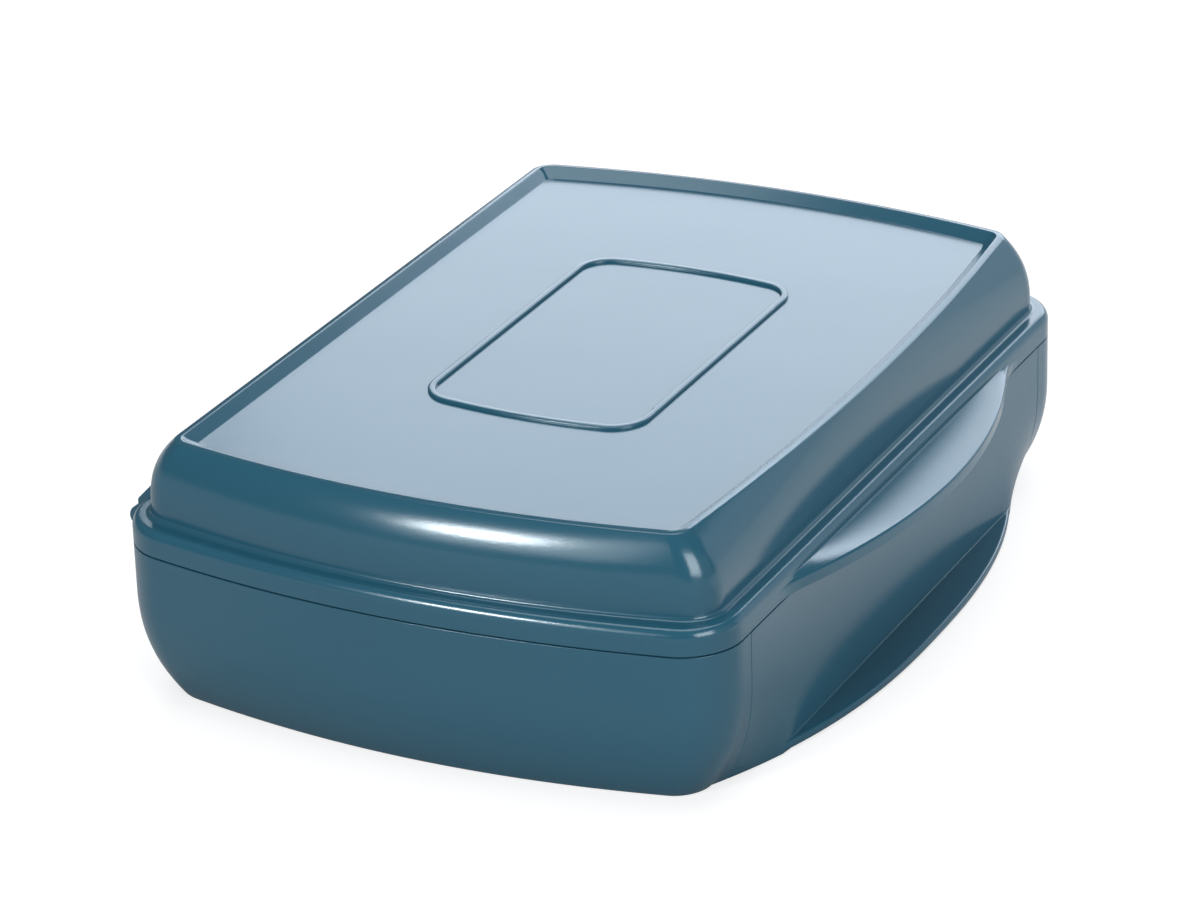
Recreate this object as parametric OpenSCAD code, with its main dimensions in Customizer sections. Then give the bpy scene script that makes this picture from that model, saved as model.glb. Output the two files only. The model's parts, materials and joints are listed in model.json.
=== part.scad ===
// Fly box: a hinged two-part moulded case with slit mats, a rim seal and magnets.
// Frame: +Z up, +Y along the box, +X towards the grips, -X towards the hinge.
// The origin is the middle of the flat underside of the base. Millimetres.

/* [Case] */
// Width over the straight long sides, without the grips
case_w = 97.8; // [84:0.1:118]
// Length over the bowed short ends
case_l = 142; // [126:1:172]
// Height of the base
base_h = 24.6; // [21.5:0.05:30]
// Height of the lid
lid_h = 16.05; // [15:0.05:22]
// Gap between the two rims, which the seal bridges
seam_gap = 0.5; // [0.3:0.1:0.8]
// Moulded wall
wall = 2; // [1.6:0.1:2.4]
// How far each short end bows out at the seam
end_bow = 6; // [4:0.5:9]
// Corner radius at the seam
corner_r = 7.2; // [5:0.1:9]
// Width of the flat rims that meet at the seam
rim_w = 3.4; // [3.2:0.1:3.8]

/* [Base] */
// How far the long sides draw in at the floor
base_tuck = 6; // [3:0.1:7]
// How far the short ends draw in at the floor, at the middle
base_end_tuck = 4.6; // [1.5:0.1:6]
// Height over which the walls draw in
tuck_h = 17.2; // [14:0.1:20.4]
// Bow of the short ends at the floor
floor_bow = 5.4; // [3:0.1:7]
// Corner radius at the floor
floor_corner_r = 4.2; // [3:0.1:8]
// Floor thickness
floor_t = 2; // [1.6:0.1:2.4]
// Distance of each mould slide line from the corner
slide_line_in = 2.8; // [2:0.1:10]
// Depth of the slide line
slide_line_d = 0.15; // [0.1:0.05:0.3]

/* [Lid] */
// Height of the rim flange
flange_h = 3.85; // [3.6:0.05:5.5]
// Rounding of the flange's top
flange_r = 1.2; // [0.8:0.1:1.5]
// Width of the ledge between the flange's face and the slope
ledge_w = 2.85; // [2.3:0.05:3.1]
// How far the top rim stands in from the long sides
rim_tuck = 7.35; // [5:0.05:9]
// How far the top rim stands in from the short ends, at the middle
rim_end_tuck = 5.95; // [4:0.05:7]
// Bow of the top rim's short sides
rim_bow = 4.4; // [3:0.1:7]
// Bow of the top rim's grip side
rim_side_bow = 3; // [1:0.1:4.5]
// Width of the top rim's land
land_w = 1.1; // [0.8:0.1:1.6]
// Depth of the panel below the rim
recess_d = 1.4; // [1:0.05:2.5]
// How far the recess's wall slopes in
recess_in = 1.8; // [0.2:0.1:2.4]
// Panel thickness
panel_t = 2; // [1.6:0.1:2.4]

/* [Panel frame] */
// Width of the raised frame on the panel
frame_w = 36.2; // [25:0.1:50]
// Length of the raised frame
frame_l = 62; // [40:0.2:80]
// Corner radius of the raised frame
frame_r = 5; // [4:0.5:12]
// Bow of the raised frame's short ends
frame_bow = 1.7; // [0.5:0.1:3]
// Width of its bead
bead_w = 1.2; // [0.8:0.1:2]
// Height of its bead
bead_h = 0.5; // [0.3:0.1:0.8]
// How far the frame stands towards the bowed side
frame_shift = 0.9; // [0:0.1:2]

/* [Grips] */
// How far the lid's grip stands out
lid_grip_out = 8.25; // [5:0.05:10]
// Length of the lid's grip
lid_grip_l = 83.6; // [60:0.2:88]
// Thickness of the lid's grip
lid_grip_t = 2; // [1.6:0.05:2.2]
// How far the base's grip stands out
base_grip_out = 6.1; // [4:0.1:9]
// Thickness of the base's grip
base_grip_t = 1.8; // [1.6:0.1:2.6]
// Rounding of the grips' upper edges
grip_edge_r = 0.4; // [0.2:0.1:0.6]

/* [Hinge] */
// Radius of the knuckles
knuckle_r = 1.7; // [1.5:0.1:2.4]
// Gap between the knuckles and the case's side
knuckle_clear = 0.3; // [0.3:0.1:1]
// Radius of the steel pins
pin_r = 0.8; // [0.6:0.05:0.9]
// Radial clearance of the pin where it turns
pin_run = 0.05; // [0.02:0.01:0.1]
// Radial clearance of the pin where it is held
pin_hold = 0.01; // [0:0.01:0.02]
// Distance of each hinge's outer end from the middle of the case
hinge_reach = 55; // [48:0.5:56]
// Length of each lid knuckle
lid_knuckle_l = 5; // [4:0.1:7]
// Length of each base knuckle
base_knuckle_l = 11.9; // [9:0.1:14]
// Gap between neighbouring knuckles
knuckle_gap = 0.3; // [0.2:0.05:0.5]

/* [Seal] */
// Width of the seal
seal_w = 1.3; // [1:0.1:1.4]
// Distance of the seal from the case's face
seal_in = 0.95; // [0.8:0.05:1]
// Depth of the seal's groove
groove_d = 1.2; // [1:0.1:2]
// Clearance round the seal
seal_clear = 0.05; // [0.02:0.01:0.1]

/* [Magnets] */
// Radius of each disc magnet
magnet_r = 2.5; // [2:0.1:3]
// Thickness of each disc magnet
magnet_t = 2; // [1.5:0.1:3]
// Distance of the magnets from the middle of the case
magnet_y = 47; // [42:0.5:49]
// Wall of the moulded boss round a magnet
boss_wall = 1.2; // [1:0.1:1.5]
// Height of the boss
boss_h = 5; // [4:0.1:6]

/* [Mats] */
// Thickness of each mat's pad
pad_t = 1.5; // [1:0.1:2]
// Height of the slit ridges above the pad
ridge_h = 3.2; // [2:0.1:4]
// Thickness of each ridge
ridge_t = 4; // [3:0.1:5]
// Number of ridges on each mat
ridges = 11; // [6:1:12]
// Slits in each ridge
slits = 13; // [8:1:16]
// Width of each slit
slit_w = 0.5; // [0.4:0.1:0.8]
// Clearance between a mat and the wall round it
mat_clear = 0.4; // [0.2:0.1:1]

/* [Hidden] */
half_w = case_w / 2;
half_l = case_l / 2;
lid_z = base_h + seam_gap;
top_z = lid_z + lid_h;
ledge_z = lid_z + flange_h;
slope_foot_h = 0.5;
slope_z = ledge_z + slope_foot_h;
slope_corner_r = corner_r - ledge_w;
panel_z = top_z - recess_d;
ceiling_z = panel_z - panel_t;
tuck_power = 2.3;
slope_power = 2.75;
rim_corner_r = 2.8;
rim_edge = 0.3;
slope_top = top_z - 0.2;
floor_r = 2;
ceiling_r = 1.2;
mat_corner_r = 2;
corner_steps = 6;
end_steps = 12;
side_steps = 20;
line_half = 0.2;

// Outline at the floor, and the arc that its grip side follows
floor_half_w = half_w - base_tuck;
floor_half_l = half_l - base_end_tuck;
floor_corner_l = floor_half_l - floor_bow;
grip_arc_l = floor_corner_l - floor_corner_r;
grip_arc_out = base_tuck + base_grip_out;
grip_power = 2.5;
grip_lower_r = 1.1;

// Outline of the top rim
rim_half_w = half_w - rim_tuck;
rim_half_l = half_l - rim_end_tuck;

// Hinge
hinge_x = -half_w - knuckle_clear - knuckle_r;
hinge_z = base_h + seam_gap / 2;
base_knuckle_y = hinge_reach - lid_knuckle_l - knuckle_gap;
inner_knuckle_y = base_knuckle_y - base_knuckle_l - knuckle_gap;
pin_end_wall = 1.5;
pin_l = hinge_reach - inner_knuckle_y + lid_knuckle_l - pin_end_wall;
web_h = 6;
web_low = hinge_z - knuckle_r - web_h / 2;
web_top = base_h - 0.3;
arm_out = 0.15;
arm_face_z = ledge_z - 1.2;
arm_top = ledge_z + 4.1;

// Magnets
boss_r = magnet_r + boss_wall;
boss_overlap = 0.3;
magnet_x = half_w - rim_w - boss_r + boss_overlap;
magnet_clear = 0.05;
boss_web_top = groove_d + 0.4;

// ---- Outlines ----

// Share of a bow left at a place along its side, 1 in the middle and 0 at the ends
function bow_share(place, reach) = 1 - pow(place / reach, 2);

// One closed outline at height z, counter-clockwise from the near grip corner.
// hw: half width. mid_l: half length at the middle of the bowed ends. bow: their bow.
// r: corner radius. side: shift of the grip side at each y, as a function of y and
// of the straight side's half length.
function outline(hw, mid_l, bow, r, z, side = function(y, reach) 0) =
    let (
        hl = mid_l - bow,
        cx = hw - r,
        cy = hl - r,
        line_y = cy - slide_line_in,
        line_end = line_y - line_half,
        side_ys = concat(
            [-line_y - line_half, -line_y],
            [for (i = [0 : side_steps]) line_end * (2 * i / side_steps - 1)],
            [line_y, line_y + line_half]
        ),
        end_xs = [for (i = [1 : end_steps - 1]) cx * (2 * i / end_steps - 1)],
        arc = function(mx, my, start)
            [for (i = [0 : corner_steps]) let (a = start + 90 * i / corner_steps)
                [mx + r * cos(a), my + r * sin(a)]],
        flat = concat(
            arc(cx, -cy, -90),
            [for (y = side_ys) [hw + side(y, cy), y]],
            arc(cx, cy, 0),
            [for (i = [end_steps - 2 : -1 : 0]) [end_xs[i], hl]],
            arc(-cx, cy, 90),
            arc(-cx, -cy, 180),
            [for (x = end_xs) [x, -hl]]
        )
    )
    [for (p = flat)
        let (bend = abs(p[1]) > cy - 0.001 ? bow * bow_share(min(abs(p[0]), hw), hw) : 0)
        [p[0], p[1] + sign(p[1]) * bend, z]];

// Skin over a list of outlines, closed by a flat face at both ends
module loft(outlines) {
    n = len(outlines[0]);
    m = len(outlines);
    polyhedron(
        points = [for (o = outlines) each o],
        faces = concat(
            [[for (i = [0 : n - 1]) i]],
            [for (k = [0 : m - 2], i = [0 : n - 1])
                let (j = (i + 1) % n) each [
                    [k * n + i, k * n + n + i, k * n + n + j],
                    [k * n + i, k * n + n + j, k * n + j]
                ]],
            [[for (i = [n - 1 : -1 : 0]) (m - 1) * n + i]]
        ),
        convexity = 10
    );
}

// Closed ring whose section runs through a list of outlines
module ring_loft(outlines) {
    n = len(outlines[0]);
    m = len(outlines);
    polyhedron(
        points = [for (o = outlines) each o],
        faces = [for (k = [0 : m - 1], i = [0 : n - 1])
            let (j = (i + 1) % n, q = (k + 1) % m) each [
                [k * n + i, q * n + i, q * n + j],
                [k * n + i, q * n + j, k * n + j]
            ]],
        convexity = 10
    );
}

// ---- Base ----

// How far the base's walls have drawn in at height z, 1 at the floor
function tucked(z) = pow(max(0, 1 - z / tuck_h), tuck_power);

// How far the grip's arc stands out from the drawn-in floor outline at y
function grip_arc(y) = grip_arc_out * max(0, 1 - pow(abs(y) / grip_arc_l, grip_power));

// The grip side of the base: its wall runs straight down where the arc passes it,
// and the grip itself is the rest of the arc, cut back by trim and limited to cap
function base_side(z, trim, cap, line = 0) =
    function(y, reach)
        let (
            arc = grip_arc(y),
            on_line = abs(abs(y) - (reach - slide_line_in)) < 0.01
        )
        tucked(z) * min(arc, base_tuck)
            + min(max(arc - base_tuck - trim, 0), cap)
            - (on_line ? line : 0);

// Outline of the base at height z, drawn in by inset
function base_outline(z, inset, trim = 0, cap = 0, line = 0) =
    let (t = tucked(z))
    outline(
        half_w - base_tuck * t - inset,
        half_l - base_end_tuck * t - inset,
        end_bow + (floor_bow - end_bow) * t,
        max(1, corner_r + (floor_corner_r - corner_r) * t - inset),
        z,
        base_side(z, trim, cap, line)
    );

// How far a rounding of radius r is cut back at a distance d from the face it runs into
function round_cut(r, d) = d >= r ? 0 : r - sqrt(r * r - pow(r - d, 2));

// How far the base's grip is cut back by its rounded edges at height z
function base_grip_cut(z) =
    round_cut(grip_lower_r, z) + round_cut(grip_edge_r, base_grip_t - z);

module base_skin() {
    edge = 0.25;
    foot_r = 0.5;
    root_r = 0.8;
    unlimited = 99;
    line = slide_line_d;
    groove_in = seal_in - seal_clear;
    groove_out = seal_in + seal_w + seal_clear;
    groove_z = base_h - groove_d;
    band_z = base_h - 4;
    low_z = band_z - 2;
    root_z = base_grip_t + root_r;
    face_top = base_h - edge;
    grip_zs = [
        0, foot_r / 4, foot_r, grip_lower_r,
        base_grip_t - grip_edge_r, base_grip_t - grip_edge_r / 4, base_grip_t
    ];
    outside = concat(
        [for (z = grip_zs)
            base_outline(z, round_cut(foot_r, z), base_grip_cut(z), unlimited, line)],
        [for (k = [0 : 3])
            let (a = 30 * k)
            base_outline(
                root_z - root_r * cos(a),
                0,
                grip_edge_r,
                root_r * (1 - sin(a)),
                line
            )],
        [for (k = [1 : 8])
            base_outline(root_z + (face_top - root_z) * pow(k / 8, 1.2), 0, 0, 0, line)],
        [base_outline(base_h, edge)]
    );
    rim = [
        base_outline(base_h, groove_in),
        base_outline(groove_z, groove_in),
        base_outline(groove_z, groove_out),
        base_outline(base_h, groove_out),
        base_outline(base_h, rim_w)
    ];
    inside = concat(
        [
            base_outline(band_z, rim_w),
            base_outline(low_z, wall)
        ],
        [for (k = [1 : 3]) base_outline(low_z - (low_z - floor_t - floor_r) * k / 4, wall)],
        [for (k = [0 : 3])
            let (a = 30 * k)
            base_outline(
                floor_t + floor_r * (1 - sin(a)),
                wall + floor_r * (1 - cos(a))
            )]
    );
    loft(concat(outside, rim, inside));
}

// ---- Lid ----

// How far the lid's grip stands out at y, with its ends blended into the flange
function lid_grip(y) =
    let (soft = 0.45)
    soft * ln(1 + exp(lid_grip_out * bow_share(y, lid_grip_l / 2) / soft));

// Outline of the flange at height z, drawn in by inset, with the grip
function flange_outline(z, inset, trim = 0, cap = 99) =
    outline(half_w - inset, half_l - inset, end_bow, max(1, corner_r - inset), z,
        function(y, reach) min(max(lid_grip(y) - trim, 0), cap));

// Outline between the slope's foot, share 0, and the top rim, share 1
function slope_outline(z, share, inset = 0) =
    outline(
        half_w - ledge_w + (ledge_w - rim_tuck) * share - inset,
        half_l - ledge_w + (ledge_w - rim_end_tuck) * share - inset,
        end_bow + (rim_bow - end_bow) * share,
        max(1, slope_corner_r + (rim_corner_r - slope_corner_r) * share - inset),
        z,
        function(y, reach) rim_side_bow * share * bow_share(y, reach)
    );

function slope_share(z) = pow(max(0, (z - slope_z) / (slope_top - slope_z)), slope_power);

// How far the lid's grip is cut back by its rounded edges at height z
function lid_grip_cut(z) =
    round_cut(grip_edge_r, z - lid_z) + round_cut(grip_edge_r, lid_z + lid_grip_t - z);

module lid_skin() {
    edge = 0.3;
    unlimited = 99;
    grip_z = lid_z + lid_grip_t;
    root_r = 0.3;
    round_z = ledge_z - flange_r;
    round_end_z = ceiling_z - ceiling_r;
    inner_z = slope_z + 1.2;
    inside = concat(
        [for (k = [0 : 3])
            let (a = 30 * k, z = ceiling_z - ceiling_r * (1 - cos(a)))
            slope_outline(z, slope_share(z), wall + ceiling_r * (1 - sin(a)))],
        [for (k = [1 : 3])
            let (z = round_end_z - (round_end_z - inner_z) * k / 3)
            slope_outline(z, slope_share(z), wall)],
        [flange_outline(lid_z, rim_w, 0, 0)]
    );
    grip_zs = [
        lid_z + edge, lid_z + grip_edge_r, grip_z - grip_edge_r,
        grip_z - grip_edge_r / 4, grip_z
    ];
    flange = concat(
        [flange_outline(lid_z, edge, lid_grip_cut(lid_z), unlimited)],
        [for (z = grip_zs) flange_outline(z, 0, lid_grip_cut(z), unlimited)],
        [for (k = [0 : 2])
            let (a = 45 * k)
            flange_outline(
                grip_z + root_r * (1 - cos(a)),
                0,
                grip_edge_r,
                root_r * (1 - sin(a))
            )],
        [for (k = [0 : 5])
            let (a = 18 * k)
            flange_outline(round_z + flange_r * sin(a), flange_r * (1 - cos(a)), 0, 0)]
    );
    foot = [for (k = [0 : 2])
        let (a = 30 * k, r = slope_foot_h)
        flange_outline(ledge_z + r * (1 - cos(a)), ledge_w - r * (1 - sin(a)), 0, 0)];
    slope = [for (k = [0 : 9])
        let (z = slope_z + (slope_top - slope_z) * (1 - pow(1 - k / 9, 1.4)))
        slope_outline(z, slope_share(z))];
    rim = [
        slope_outline(top_z - rim_edge / 4, 1, rim_edge / 3),
        slope_outline(top_z, 1, rim_edge),
        slope_outline(top_z, 1, land_w - rim_edge / 2),
        slope_outline(top_z - rim_edge / 2, 1, land_w),
        slope_outline(panel_z + rim_edge / 2, 1, land_w + recess_in),
        slope_outline(panel_z, 1, land_w + recess_in + rim_edge)
    ];
    loft(concat(inside, flange, foot, slope, rim));
}

// Plan of the frame on the panel, drawn in by inset
module frame_plan(inset) {
    points = outline(
        frame_w / 2 - inset,
        frame_l / 2 - inset,
        frame_bow,
        frame_r - inset,
        0
    );
    polygon([for (p = points) [p[0], p[1]]]);
}

module panel_frame() {
    sunk = 0.2;
    translate([frame_shift, 0, panel_z - sunk])
        linear_extrude(bead_h + sunk)
            difference() {
                frame_plan(0);
                frame_plan(bead_w);
            }
}

// ---- Hinge ----

// Places its children at the near and the far hinge
module at_hinges() {
    for (side = [-1, 1])
        scale_y(side) children();
}

// Mirrors its children to the near side
module scale_y(side) {
    if (side < 0)
        mirror([0, 1, 0]) children();
    else
        children();
}

// A round bar along the hinge axis, from y down to y - l
module hinge_bar(r, y, l) {
    translate([hinge_x, y, hinge_z])
        rotate([90, 0, 0])
            cylinder(r = r, h = l, $fn = 48);
}

// A web along the hinge, extruded from its outline in X and Z
module hinge_web(points, y, l) {
    translate([0, y, 0])
        rotate([90, 0, 0])
            linear_extrude(l)
                polygon(points);
}

module base_knuckle() {
    below = knuckle_r * sin(45);
    hinge_bar(knuckle_r, base_knuckle_y, base_knuckle_l);
    hinge_web([
        [hinge_x - below, hinge_z - below],
        [-half_w + wall / 4, web_low],
        [-half_w + wall / 4, web_top],
        [hinge_x, web_top]
    ], base_knuckle_y, base_knuckle_l);
}

module lid_knuckle(y) {
    inner_x = -half_w + ledge_w + wall / 2;
    hinge_bar(knuckle_r, y, lid_knuckle_l);
    hinge_web([
        [hinge_x - arm_out, lid_z],
        [-half_w + wall, lid_z],
        [inner_x, ledge_z + wall / 2],
        [inner_x, arm_top],
        [-half_w + ledge_w, arm_top],
        [hinge_x - arm_out, arm_face_z]
    ], y, lid_knuckle_l);
}

// ---- Magnet seats ----

// A boss that hangs below z on the wall at the grip side, for the near or far magnet
module magnet_boss(side, reach) {
    tip_r = 1;
    web_l = boss_h + tip_r;
    translate([magnet_x, side * magnet_y, 0]) {
        translate([0, 0, -boss_h])
            cylinder(r = boss_r, h = boss_h, $fn = 48);
        translate([0, 0, -boss_h - boss_r + tip_r])
            cylinder(r1 = tip_r, r2 = boss_r, h = boss_r - tip_r, $fn = 48);
        translate([0, -boss_wall, -web_l])
            cube([reach - magnet_x, 2 * boss_wall, web_l - boss_web_top]);
    }
}

module magnet_pocket(side) {
    translate([magnet_x, side * magnet_y, -magnet_t])
        cylinder(r = magnet_r + magnet_clear, h = magnet_t + 1, $fn = 48);
}

// Turns what hangs below z = 0 into what stands above it
module upside_down() {
    mirror([0, 0, 1]) children();
}

module magnet(side) {
    translate([magnet_x, side * magnet_y, -magnet_t])
        cylinder(r = magnet_r, h = magnet_t, $fn = 48);
}

// ---- Mats ----

// A comb: a ridge with slits, in its own plane, standing on y = 0
module ridge_comb(l) {
    pitch = l / slits;
    tooth = pitch - slit_w;
    floor_h = 0.6;
    polygon(concat(
        [[-l / 2, 0]],
        [for (i = [0 : slits - 1])
            let (x = -l / 2 + i * pitch + slit_w / 2)
            each [
                [x, i == 0 ? 0 : floor_h],
                [x, ridge_h],
                [x + tooth, ridge_h],
                [x + tooth, i == slits - 1 ? 0 : floor_h]
            ]],
        [[l / 2, 0]]
    ));
}

// A mat that lies on z = 0 with its ridges up
module slit_mat(hw, mid_l, bow, r) {
    end_margin = 4;
    side_margin = 4.5;
    sunk = 0.1;
    plan = outline(hw, mid_l, bow, r, 0);
    pitch = 2 * (mid_l - bow - end_margin) / ridges;
    ridge_l = 2 * (hw - side_margin);
    linear_extrude(pad_t)
        polygon([for (p = plan) [p[0], p[1]]]);
    for (i = [0 : ridges - 1])
        translate([0, (i - (ridges - 1) / 2) * pitch + ridge_t / 2, pad_t - sunk])
            rotate([90, 0, 0])
                linear_extrude(ridge_t)
                    ridge_comb(ridge_l);
}

// ---- Sub-parts ----

module base_shell() {
    color("#3f6579")
        difference() {
            union() {
                base_skin();
                at_hinges() base_knuckle();
                translate([0, 0, base_h])
                    for (side = [-1, 1])
                        magnet_boss(side, half_w - wall / 2);
            }
            at_hinges()
                hinge_bar(pin_r + pin_run, base_knuckle_y + 1, base_knuckle_l + 2);
            translate([0, 0, base_h])
                for (side = [-1, 1])
                    magnet_pocket(side);
        }
}

module lid_shell() {
    color("#45697c")
        difference() {
            union() {
                lid_skin();
                panel_frame();
                at_hinges() {
                    lid_knuckle(hinge_reach);
                    lid_knuckle(inner_knuckle_y);
                }
                translate([0, 0, lid_z])
                    upside_down()
                        for (side = [-1, 1])
                            magnet_boss(side, half_w - ledge_w - wall / 2);
            }
            at_hinges()
                hinge_bar(pin_r + pin_hold, hinge_reach + 1, pin_l + 1);
            translate([0, 0, lid_z])
                upside_down()
                    for (side = [-1, 1])
                        magnet_pocket(side);
        }
}

module rim_seal() {
    low = base_h - groove_d;
    high = lid_z - seal_clear;
    soft = 0.3;
    outer = seal_in;
    inner = seal_in + seal_w;
    color("#3c4240")
        ring_loft([
            base_outline(low, inner),
            base_outline(high - soft, inner),
            base_outline(high, inner - soft),
            base_outline(high, outer + soft),
            base_outline(high - soft, outer),
            base_outline(low, outer)
        ]);
}

module hinge_pin(side) {
    color("#b9bdc1")
        scale_y(side)
            hinge_bar(pin_r, hinge_reach, pin_l);
}

module base_mat() {
    color("#c9ced0")
        translate([0, 0, floor_t])
            slit_mat(
                floor_half_w - wall - floor_r - mat_clear,
                floor_half_l - wall - floor_r - mat_clear,
                floor_bow,
                mat_corner_r
            );
}

module lid_mat() {
    share = slope_share(ceiling_z);
    side_in = ledge_w + (rim_tuck - ledge_w) * share + wall + ceiling_r + mat_clear;
    end_in = ledge_w + (rim_end_tuck - ledge_w) * share + wall + ceiling_r + mat_clear;
    color("#c9ced0")
        translate([0, 0, ceiling_z])
            upside_down()
                slit_mat(
                    half_w - side_in,
                    half_l - end_in,
                    end_bow + (rim_bow - end_bow) * share,
                    mat_corner_r
                );
}

module base_magnet(side) {
    color("#c4c7ca")
        translate([0, 0, base_h])
            magnet(side);
}

module lid_magnet(side) {
    color("#c4c7ca")
        translate([0, 0, lid_z])
            upside_down()
                magnet(side);
}

base_shell();
lid_shell();
rim_seal();
hinge_pin(-1);  // hinge_pin_near
hinge_pin(1);  // hinge_pin_far
base_mat();
lid_mat();
base_magnet(-1);  // base_magnet_near
base_magnet(1);  // base_magnet_far
lid_magnet(-1);  // lid_magnet_near
lid_magnet(1);  // lid_magnet_far
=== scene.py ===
"""Looks of a hinged fly box: a moulded base and lid, slit mats, a rim seal, pins and magnets.

Pieces are shaped in millimetres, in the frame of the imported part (+Z up, +Y along the box,
+X towards the grips), and stored in metres.
"""

import json
import math

import bmesh
import bpy
import numpy as np
from mathutils import Matrix, Vector


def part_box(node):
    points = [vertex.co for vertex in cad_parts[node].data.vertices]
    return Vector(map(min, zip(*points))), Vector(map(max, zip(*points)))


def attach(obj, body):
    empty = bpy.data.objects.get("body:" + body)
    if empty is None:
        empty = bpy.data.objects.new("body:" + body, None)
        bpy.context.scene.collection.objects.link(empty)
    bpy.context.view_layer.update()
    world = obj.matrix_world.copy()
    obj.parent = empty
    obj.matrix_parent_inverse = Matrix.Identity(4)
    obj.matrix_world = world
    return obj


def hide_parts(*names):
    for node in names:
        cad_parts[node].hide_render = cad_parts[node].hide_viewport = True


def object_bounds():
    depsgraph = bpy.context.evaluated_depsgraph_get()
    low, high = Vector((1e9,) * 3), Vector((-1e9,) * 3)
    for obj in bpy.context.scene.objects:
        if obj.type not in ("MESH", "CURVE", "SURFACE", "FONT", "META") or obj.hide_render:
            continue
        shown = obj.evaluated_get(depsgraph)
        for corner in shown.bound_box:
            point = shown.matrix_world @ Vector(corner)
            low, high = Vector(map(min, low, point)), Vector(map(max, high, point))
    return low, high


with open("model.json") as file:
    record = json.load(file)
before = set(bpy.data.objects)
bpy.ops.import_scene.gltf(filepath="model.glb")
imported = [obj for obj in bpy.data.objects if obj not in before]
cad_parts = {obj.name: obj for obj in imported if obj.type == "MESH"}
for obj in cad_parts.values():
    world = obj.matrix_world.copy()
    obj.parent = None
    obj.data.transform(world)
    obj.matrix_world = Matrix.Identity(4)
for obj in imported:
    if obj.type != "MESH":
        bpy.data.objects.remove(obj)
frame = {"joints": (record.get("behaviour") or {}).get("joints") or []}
cad_low, cad_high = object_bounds()

MM = 0.001

# ---- Sizes of the box, in millimetres ----

# Both shells. Their ends bow outward, and their lips stand nearer to the seam than the rims
# behind them.
HALF_W = 48.9
HALF_L = cad_high.y / MM
END_BOW = 6.0
CORNER = 7.2
WALL = 2.0
RIM_W = 3.4
LIP = 0.15

# The base. From TUCK_H down to the floor, its sides and ends draw in by the two tucks.
BASE_TOP = 24.6
BASE_LIP = BASE_TOP + LIP
TUCK = 6.0
END_TUCK = 4.6
TUCK_H = 17.2
TUCK_POWER = 2.3
FLOOR_BOW = 5.4
FLOOR_CORNER = 4.2
FLOOR_T = 2.0
FLOOR_R = 2.0

# The seal's groove in the base's rim, and the band below it where the wall is as thick as
# the rim.
GROOVE_OUTER = 0.9
GROOVE_INNER = 2.3
GROOVE_Z = BASE_TOP - 1.2
SEAL_GAP = 0.05
BAND_Z = BASE_TOP - 4
BAND_FOOT_Z = BAND_Z - 2

# The base's grip, the outer part of an arc, and the roundings of the grips' edges. The cap
# that limits nothing is wider than any grip.
BASE_GRIP_OUT = 6.1
BASE_GRIP_T = 1.8
BASE_GRIP_HALF = HALF_L - END_TUCK - FLOOR_BOW - FLOOR_CORNER
GRIP_POWER = 2.5
GRIP_LOWER_R = 1.1
GRIP_EDGE_R = 0.4
NO_CAP = 99.0

# Two upright mould lines on the base's grip side, this far in from where the corners start.
SLIDE_LINE_IN = 2.8
SLIDE_LINE_D = 0.12
SLIDE_LINE_HALF_W = 0.16

# The lid. Its flange is rolled over to a ledge on arcs of a radius and an end angle. A curved
# slope rises from the ledge to the rim, which lies in from the flange by its two tucks.
LID_FOOT = 25.1
LID_LIP = LID_FOOT - LIP
LID_TOP = cad_high.z / MM
LEDGE_Z = 28.95
LEDGE_W = 2.85
FLANGE_ARCS = ((2.0, 40), (0.75, 90))
FOOT_R = 0.7
SLOPE_Z = LEDGE_Z + FOOT_R
SLOPE_TOP = LID_TOP - 0.2
SLOPE_POWER = 2.75
RIM_TUCK = 7.35
RIM_END_TUCK = 5.95
RIM_BOW = 4.4
RIM_SIDE_BOW = 3.0
RIM_CORNER = 2.8

# The recess in the lid. Its wall leans in by RECESS_IN, from the rim's land to the panel.
LAND_W = 1.1
RECESS_IN = 1.8
PANEL_Z = LID_TOP - 1.4
CEILING_Z = PANEL_Z - 2.0
CEILING_R = 1.2

# The lid's grip. The top of its edge lies a little below its full thickness.
LID_GRIP_OUT = 8.25
LID_GRIP_HALF = 41.8
LID_GRIP_T = 2.0
LID_GRIP_DROP = 0.25

# The raised frame on the panel, a bead whose middle lies towards the grips.
FRAME_HALF_W = 18.1
FRAME_HALF_L = 31.0
FRAME_R = 5.0
FRAME_BOW = 1.7
FRAME_SHIFT = 0.9
BEAD_W = 1.2
BEAD_H = 0.5

# Hinges. Each knuckle is given by its two ends along Y, and stands at both ends of the box.
# The pins are tight in the lid's bores and turn in the base's.
HINGE = Vector(frame["joints"][0]["pos_m"]) / MM
KNUCKLE_R = 1.7
PIN_R = 0.8
LID_BORE_R = PIN_R + 0.01
BASE_BORE_R = PIN_R + 0.05
LID_KNUCKLES = ((55.0, 50.0), (37.5, 32.5))
BASE_KNUCKLE = (49.7, 37.8)
PIN_END = LID_KNUCKLES[0][0]
BORE_END = 34.0

# Disc magnets, in bosses with a tapered tip and a web to the wall.
MAGNET_R = 2.5
MAGNET_T = 2.0
MAGNET_X = 42.1
MAGNET_Y = 47.0
POCKET_R = MAGNET_R + 0.05
BOSS_R = 3.7
BOSS_TIP_R = 1
BOSS_H = 5.0
WEB_HALF_W = 1.2

# Slit mats: a pad with ridges across it, each cut into teeth by slits down to SLIT_Z.
PAD_T = 1.5
PAD_CORNER = 2.0
RIDGES = 11
RIDGE_T = 4.0
RIDGE_H = 3.2
RIDGE_SIDE_GAP = 4.5
RIDGE_END_GAP = 4
TEETH = 13
SLIT_W = 0.5
SLIT_Z = 0.6

# Solids that are joined reach this far into each other.
OVERLAP = 0.1

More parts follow.
